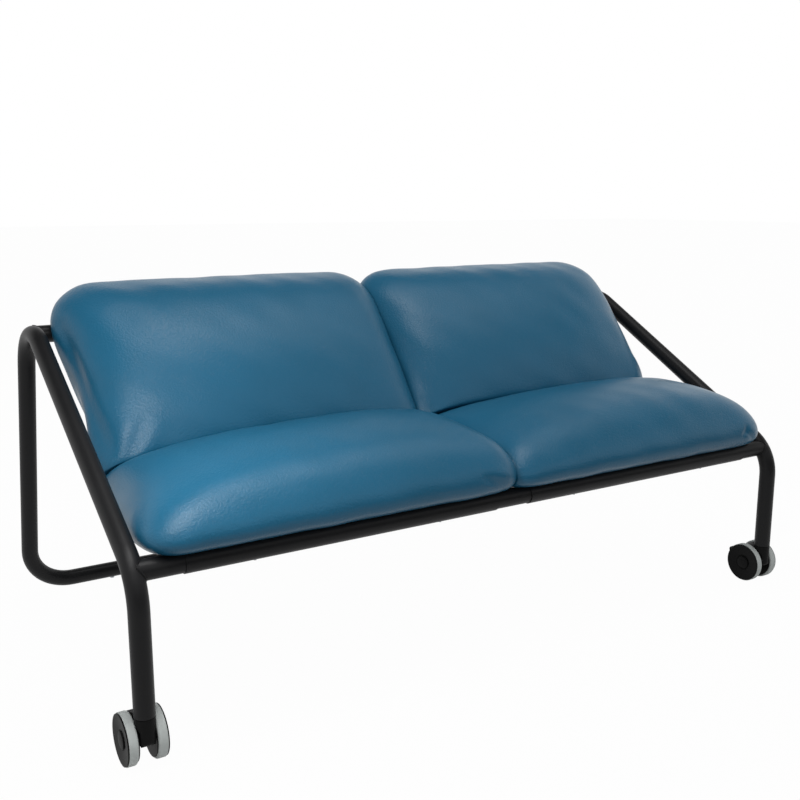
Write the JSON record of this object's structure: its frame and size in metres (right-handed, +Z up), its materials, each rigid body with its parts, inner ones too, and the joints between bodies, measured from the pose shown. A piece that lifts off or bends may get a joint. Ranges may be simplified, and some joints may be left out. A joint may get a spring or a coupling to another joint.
{
  "type": "office sofa",
  "caption": "Low settee for offices: soft seat and back cushions on a bent-tube frame, with braked casters on the front legs and a rail on the floor at the back.",
  "frame": {"origin": "on the floor, under the middle of the sofa's bounding box", "axes": "+X along the sofa's length, +Y from the seat's front to its back, +Z up"},
  "size_m": [1.4238, 0.7927, 0.6646],
  "materials": {
    "frame_paint": "satin",
    "cover": "satin",
    "filling": "matte",
    "strap": "matte",
    "caster_plastic": "satin",
    "tyre": "matte",
    "steel": "satin",
    "glide_plastic": "matte"
  },
  "bodies": {
    "frame": {"left_side_frame": "frame_paint", "right_side_frame": "frame_paint", "front_rail": "frame_paint", "top_rail": "frame_paint", "floor_rail": "frame_paint", "floor_rail_spigots": "steel", "floor_rail_screws": "steel", "glide_screws": "steel", "sleeve_set_screws": "steel", "left_floor_glide": "glide_plastic", "left_leg_socket": "glide_plastic", "left_caster_stem": "steel", "left_front_sleeve": "frame_paint", "left_top_sleeve": "frame_paint", "left_outer_seat_bar": "frame_paint", "left_inner_seat_bar": "frame_paint", "left_cross_bar": "frame_paint", "left_seat_straps": "strap", "left_back_straps": "strap", "left_seat_cover": "cover", "left_back_cover": "cover", "left_seat_filling": "filling", "left_back_filling": "filling", "right_floor_glide": "glide_plastic", "right_leg_socket": "glide_plastic", "right_caster_stem": "steel", "right_front_sleeve": "frame_paint", "right_top_sleeve": "frame_paint", "right_outer_seat_bar": "frame_paint", "right_inner_seat_bar": "frame_paint", "right_cross_bar": "frame_paint", "right_seat_straps": "strap", "right_back_straps": "strap", "right_seat_cover": "cover", "right_back_cover": "cover", "right_seat_filling": "filling", "right_back_filling": "filling"},
    "left_caster": {"left_caster_housing": "caster_plastic", "left_caster_axle": "steel", "left_caster_pedal_pin": "steel"},
    "left_brake_pedal": {"left_caster_brake_pedal": "caster_plastic"},
    "left_outer_wheel": {"left_caster_outer_wheel": "caster_plastic", "left_caster_outer_tyre": "tyre", "left_caster_outer_cap": "caster_plastic"},
    "left_inner_wheel": {"left_caster_inner_wheel": "caster_plastic", "left_caster_inner_tyre": "tyre", "left_caster_inner_cap": "caster_plastic"},
    "right_caster": {"right_caster_housing": "caster_plastic", "right_caster_axle": "steel", "right_caster_pedal_pin": "steel"},
    "right_brake_pedal": {"right_caster_brake_pedal": "caster_plastic"},
    "right_outer_wheel": {"right_caster_outer_wheel": "caster_plastic", "right_caster_outer_tyre": "tyre", "right_caster_outer_cap": "caster_plastic"},
    "right_inner_wheel": {"right_caster_inner_wheel": "caster_plastic", "right_caster_inner_tyre": "tyre", "right_caster_inner_cap": "caster_plastic"}
  },
  "joints": [
    {"name": "left_caster_swivel", "type": "hinge", "parent": "frame", "child": "left_caster", "pos_m": [-0.6805, -0.37717, 0.06], "axis": [0, 0, 1], "continuous": true},
    {"name": "left_outer_wheel_spin", "type": "hinge", "parent": "left_caster", "child": "left_outer_wheel", "pos_m": [-0.6805, -0.35317, 0.04], "axis": [1, 0, 0], "continuous": true},
    {"name": "left_inner_wheel_spin", "type": "hinge", "parent": "left_caster", "child": "left_inner_wheel", "pos_m": [-0.6805, -0.35317, 0.04], "axis": [1, 0, 0], "continuous": true},
    {"name": "left_brake_press", "type": "hinge", "parent": "left_caster", "child": "left_brake_pedal", "pos_m": [-0.6805, -0.32917, 0.059], "axis": [-1, 0, 0], "range_deg": [0, 15]},
    {"name": "right_caster_swivel", "type": "hinge", "parent": "frame", "child": "right_caster", "pos_m": [0.6805, -0.37717, 0.06], "axis": [0, 0, 1], "continuous": true},
    {"name": "right_outer_wheel_spin", "type": "hinge", "parent": "right_caster", "child": "right_outer_wheel", "pos_m": [0.6805, -0.35317, 0.04], "axis": [1, 0, 0], "continuous": true},
    {"name": "right_inner_wheel_spin", "type": "hinge", "parent": "right_caster", "child": "right_inner_wheel", "pos_m": [0.6805, -0.35317, 0.04], "axis": [1, 0, 0], "continuous": true},
    {"name": "right_brake_press", "type": "hinge", "parent": "right_caster", "child": "right_brake_pedal", "pos_m": [0.6805, -0.32917, 0.059], "axis": [-1, 0, 0], "range_deg": [0, 15]}
  ]
}
